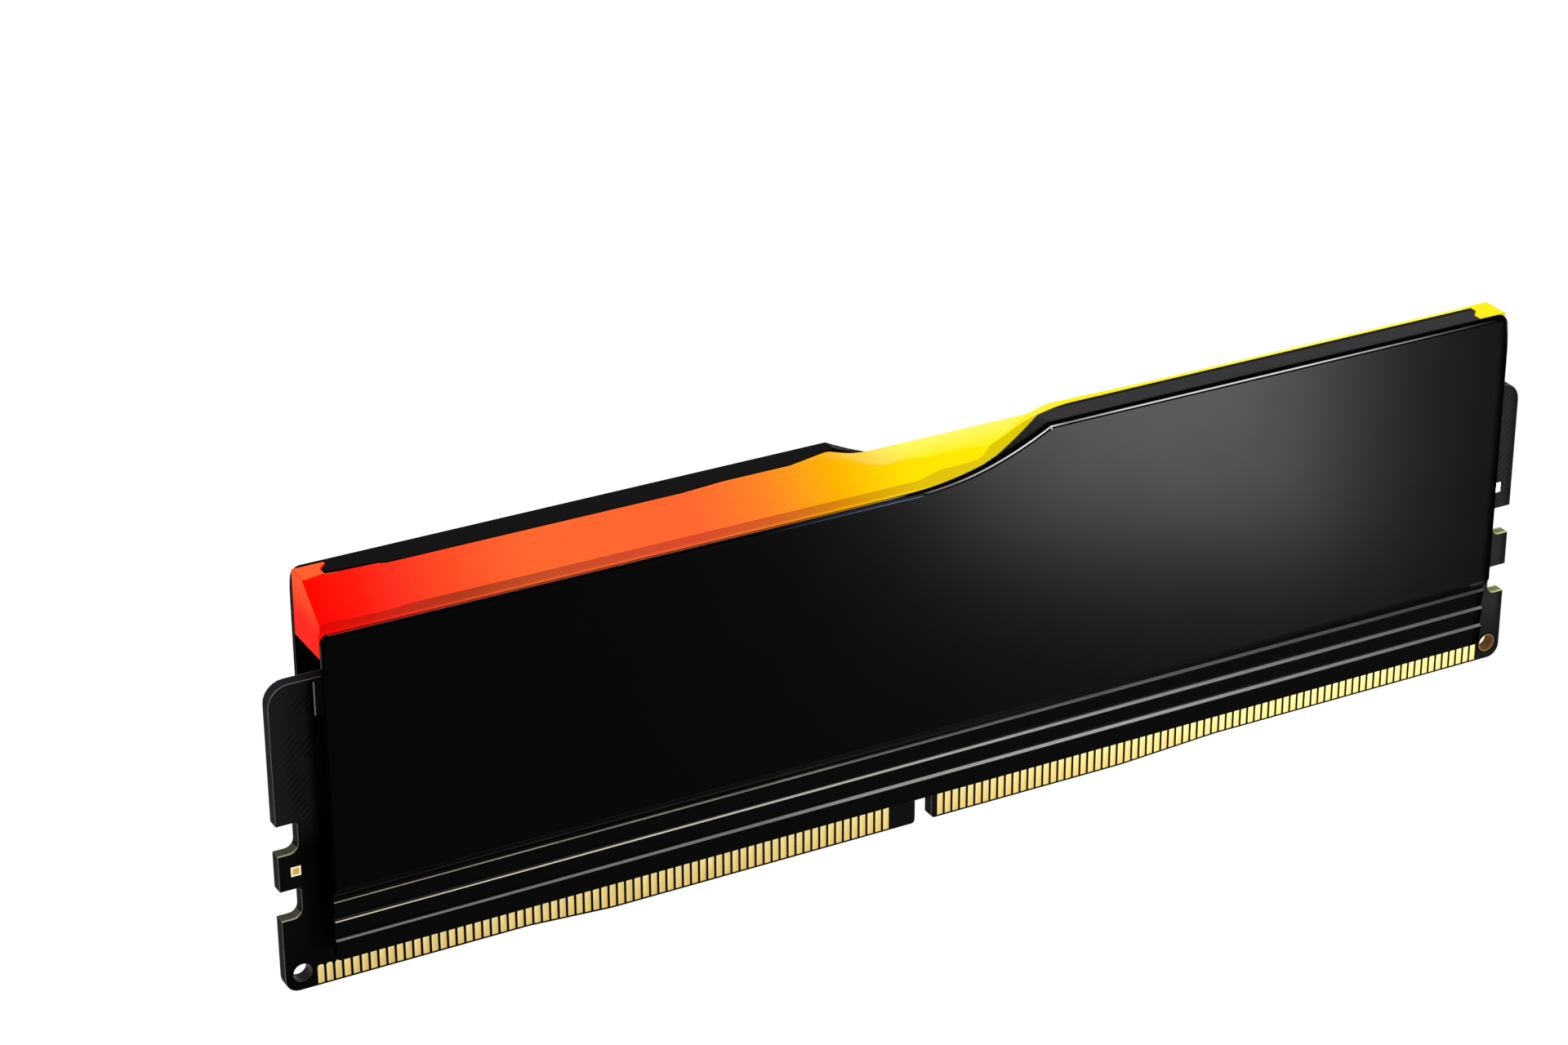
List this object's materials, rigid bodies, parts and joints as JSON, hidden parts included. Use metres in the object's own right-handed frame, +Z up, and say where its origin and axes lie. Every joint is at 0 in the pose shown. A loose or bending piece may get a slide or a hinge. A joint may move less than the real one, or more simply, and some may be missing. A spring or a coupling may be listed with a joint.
{
  "type": "ram module",
  "caption": "Desktop memory module with a keyed gold contact edge, latch notches, black sheet heat spreaders with ribs and a glowing light bar along its top.",
  "frame": {"origin": "middle of the board's lowest edge, halfway through the board's thickness", "axes": "+X along the module, to the right seen from its front; +Y to its back; +Z up, out of the socket"},
  "size_m": [0.1334, 0.007, 0.0403],
  "materials": {
    "solder_mask": "black solder mask, satin",
    "gold_plating": "gold plated",
    "hole_plating": "plated copper",
    "tin_plating": "tinned",
    "tape": "grey tape",
    "chip_package": "moulded, matt",
    "inductor_body": "pressed powder, matt",
    "light_package": "clear over white",
    "capacitor_body": "fired, matt",
    "resistor_body": "fired, matt",
    "thermal_pad": "soft silicone, matt",
    "spreader_sheet": "black anodised, satin",
    "light_diffuser": "frosted, lit from inside"
  },
  "bodies": {
    "root": {"circuit_board": "solder_mask", "front_contacts_left": "gold_plating", "front_contacts_right": "gold_plating", "back_contacts_left": "gold_plating", "back_contacts_right": "gold_plating", "gold_test_pad": "gold_plating", "left_hole_sleeve": "hole_plating", "right_hole_sleeve": "hole_plating", "tinned_test_pad": "tin_plating", "front_tape": "tape", "back_tape": "tape", "front_memory_chip_1": "chip_package", "front_memory_chip_2": "chip_package", "front_memory_chip_3": "chip_package", "front_memory_chip_4": "chip_package", "front_memory_chip_5": "chip_package", "front_memory_chip_6": "chip_package", "front_memory_chip_7": "chip_package", "front_memory_chip_8": "chip_package", "back_memory_chip_1": "chip_package", "back_memory_chip_2": "chip_package", "back_memory_chip_3": "chip_package", "back_memory_chip_4": "chip_package", "back_memory_chip_5": "chip_package", "back_memory_chip_6": "chip_package", "back_memory_chip_7": "chip_package", "back_memory_chip_8": "chip_package", "power_chip": "chip_package", "identity_chip": "chip_package", "lighting_chip": "chip_package", "power_inductor_1": "inductor_body", "power_inductor_2": "inductor_body", "power_inductor_3": "inductor_body", "light_1": "light_package", "light_2": "light_package", "light_3": "light_package", "light_4": "light_package", "light_5": "light_package", "light_6": "light_package", "light_7": "light_package", "light_8": "light_package", "power_capacitors": "capacitor_body", "front_capacitors": "capacitor_body", "back_capacitors": "capacitor_body", "front_resistors": "resistor_body", "back_resistors": "resistor_body", "front_thermal_pad_left": "thermal_pad", "front_thermal_pad_right": "thermal_pad", "back_thermal_pad_left": "thermal_pad", "back_thermal_pad_right": "thermal_pad", "power_thermal_pad": "thermal_pad", "front_heat_spreader": "spreader_sheet", "back_heat_spreader": "spreader_sheet", "light_bar": "light_diffuser"}
  },
  "joints": []
}
